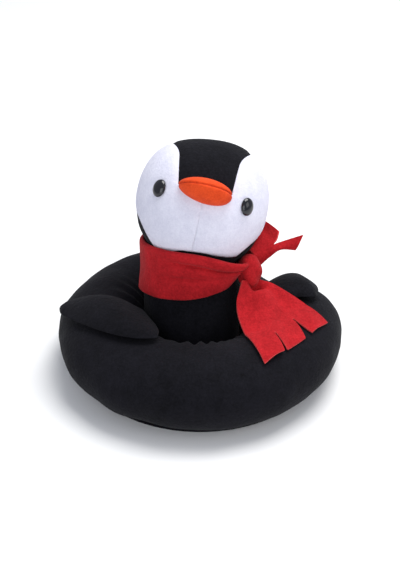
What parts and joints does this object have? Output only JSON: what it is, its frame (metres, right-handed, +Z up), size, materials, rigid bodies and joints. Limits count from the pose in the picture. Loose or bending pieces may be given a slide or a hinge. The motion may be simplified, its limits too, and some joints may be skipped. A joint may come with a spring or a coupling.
{
  "type": "plush penguin in a swim ring",
  "caption": "Stuffed fleece penguin sitting in a fat black ring, with white face, orange bill, domed eyes, flippers and a knotted red fringed scarf; head turns and nods, flippers lift.",
  "frame": {"origin": "on the floor under the middle of the ring", "axes": "+Z up; the penguin looks towards -Y and its own left side is +X"},
  "size_m": [0.1969, 0.1962, 0.1561],
  "materials": {
    "black_fleece": "short matt fleece",
    "white_fleece": "short matt fleece",
    "orange_felt": "brushed felt",
    "red_fleece": "brushed fleece with cut edges",
    "eye_plastic": "polished dome",
    "clear_plastic": "moulded",
    "filling": "loose fibre filling"
  },
  "bodies": {
    "body": {"ring_cover": "black_fleece", "base_panel": "black_fleece", "ring_stuffing": "filling", "body_left_panel": "black_fleece", "body_right_panel": "black_fleece", "body_stuffing": "filling", "scarf_wrap": "red_fleece", "scarf_knot": "red_fleece"},
    "neck": {"neck_stuffing": "filling"},
    "head": {"crown_panel": "black_fleece", "face_left_panel": "white_fleece", "face_right_panel": "white_fleece", "back_left_panel": "black_fleece", "back_right_panel": "black_fleece", "head_stuffing": "filling", "left_eye": "eye_plastic", "right_eye": "eye_plastic", "left_eye_washer": "clear_plastic", "right_eye_washer": "clear_plastic", "beak_upper_panel": "orange_felt", "beak_lower_panel": "orange_felt", "beak_stuffing": "filling"},
    "right_wing": {"right_wing_upper_panel": "black_fleece", "right_wing_lower_panel": "black_fleece", "right_wing_stuffing": "filling"},
    "left_wing": {"left_wing_upper_panel": "black_fleece", "left_wing_lower_panel": "black_fleece", "left_wing_stuffing": "filling"},
    "front_tail": {"scarf_front_tail": "red_fleece"},
    "back_tail": {"scarf_back_tail": "red_fleece"}
  },
  "joints": [
    {"name": "head_turn", "type": "hinge", "parent": "body", "child": "neck", "pos_m": [0.001, 0.024, 0.1115], "axis": [-0.0169, 0.2419, 0.9702], "range_deg": [-25, 25], "stiffness_Nm_per_rad": 0.15},
    {"name": "head_nod", "type": "hinge", "parent": "neck", "child": "head", "pos_m": [0.001, 0.024, 0.1115], "axis": [1, 0, 0], "range_deg": [-10, 20], "stiffness_Nm_per_rad": 0.15},
    {"name": "right_wing_lift", "type": "hinge", "parent": "body", "child": "right_wing", "pos_m": [-0.031, -0.028, 0.049], "axis": [-0.346, 0.9382, 0], "range_deg": [0, 10]},
    {"name": "left_wing_lift", "type": "hinge", "parent": "body", "child": "left_wing", "pos_m": [0.0345, 0.004, 0.048], "axis": [0.304, -0.9527, 0], "range_deg": [0, 12]},
    {"name": "front_tail_lift", "type": "hinge", "parent": "body", "child": "front_tail", "pos_m": [0.03725, -0.01075, 0.0685], "axis": [-0.8995, -0.4369, 0], "range_deg": [0, 30]},
    {"name": "back_tail_droop", "type": "hinge", "parent": "body", "child": "back_tail", "pos_m": [0.043, 0.00975, 0.0765], "axis": [0, 1, 0], "range_deg": [0, 12], "stiffness_Nm_per_rad": 0.02}
  ]
}
